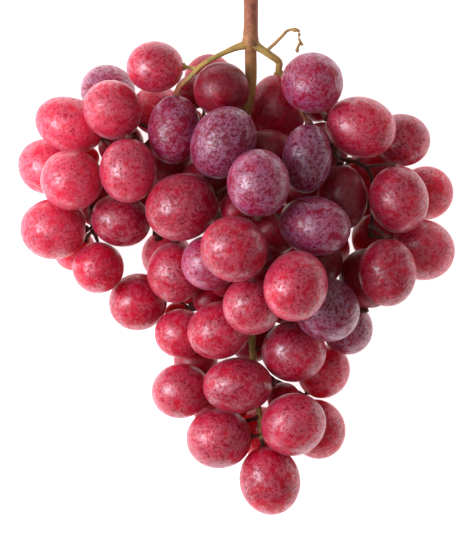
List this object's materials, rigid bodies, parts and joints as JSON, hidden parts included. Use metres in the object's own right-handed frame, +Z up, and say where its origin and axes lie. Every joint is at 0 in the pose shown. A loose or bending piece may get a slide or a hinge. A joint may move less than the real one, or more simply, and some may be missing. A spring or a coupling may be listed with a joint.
{
  "type": "bunch of grapes",
  "caption": "Bunch of round red table grapes lying on its back, tapering to a point, with a branching woody stem cut off above the top berries.",
  "frame": {"origin": "middle of the bunch's footprint, on the surface that it lies on", "axes": "+Z up from the surface towards the side that is looked at, +Y from the pointed tip towards the cut end of the stem, +X to the right seen from above with the stem away from the viewer"},
  "size_m": [0.1892, 0.2474, 0.0932],
  "materials": {
    "berry_rose": "translucent rose-red skin, satin, with waxy bloom",
    "berry_lilac": "purple-red skin under heavy lilac bloom, satin",
    "berry_dark": "dark crimson skin, glossy, with thin bloom",
    "berry_light": "light salmon-red skin, satin, with thin bloom",
    "stem_wood": "olive and brown woody stem, matt"
  },
  "bodies": {
    "root": {"stem": "stem_wood", "left_wing_berry_01": "berry_rose", "left_wing_berry_02": "berry_light", "left_wing_berry_03": "berry_light", "left_wing_berry_04": "berry_light", "left_wing_berry_05": "berry_rose", "left_wing_berry_06": "berry_light", "left_wing_berry_07": "berry_rose", "left_wing_berry_08": "berry_rose", "left_wing_berry_09": "berry_lilac", "left_wing_berry_10": "berry_light", "left_wing_berry_11": "berry_light", "left_wing_berry_12": "berry_light", "left_wing_berry_13": "berry_dark", "crown_berry_01": "berry_dark", "crown_berry_02": "berry_lilac", "crown_berry_03": "berry_lilac", "crown_berry_04": "berry_lilac", "crown_berry_05": "berry_lilac", "crown_berry_06": "berry_dark", "crown_berry_07": "berry_dark", "crown_berry_08": "berry_dark", "crown_berry_09": "berry_dark", "right_wing_berry_01": "berry_rose", "right_wing_berry_02": "berry_rose", "right_wing_berry_03": "berry_dark", "right_wing_berry_04": "berry_rose", "right_wing_berry_05": "berry_light", "right_wing_berry_06": "berry_rose", "right_wing_berry_07": "berry_light", "right_wing_berry_08": "berry_dark", "right_wing_berry_09": "berry_dark", "right_wing_berry_10": "berry_dark", "heart_berry_01": "berry_rose", "heart_berry_02": "berry_lilac", "heart_berry_03": "berry_rose", "heart_berry_04": "berry_lilac", "heart_berry_05": "berry_rose", "heart_berry_06": "berry_rose", "heart_berry_07": "berry_lilac", "heart_berry_08": "berry_lilac", "heart_berry_09": "berry_rose", "heart_berry_10": "berry_lilac", "heart_berry_11": "berry_dark", "heart_berry_12": "berry_dark", "heart_berry_13": "berry_rose", "heart_berry_14": "berry_light", "tail_berry_01": "berry_rose", "tail_berry_02": "berry_rose", "tail_berry_03": "berry_rose", "tail_berry_04": "berry_rose", "tail_berry_05": "berry_rose", "tail_berry_06": "berry_rose", "tail_berry_07": "berry_rose", "tail_berry_08": "berry_rose", "tail_berry_09": "berry_light", "tail_berry_10": "berry_light", "tail_berry_11": "berry_dark", "tail_berry_12": "berry_dark", "tail_berry_13": "berry_light"}
  },
  "joints": []
}
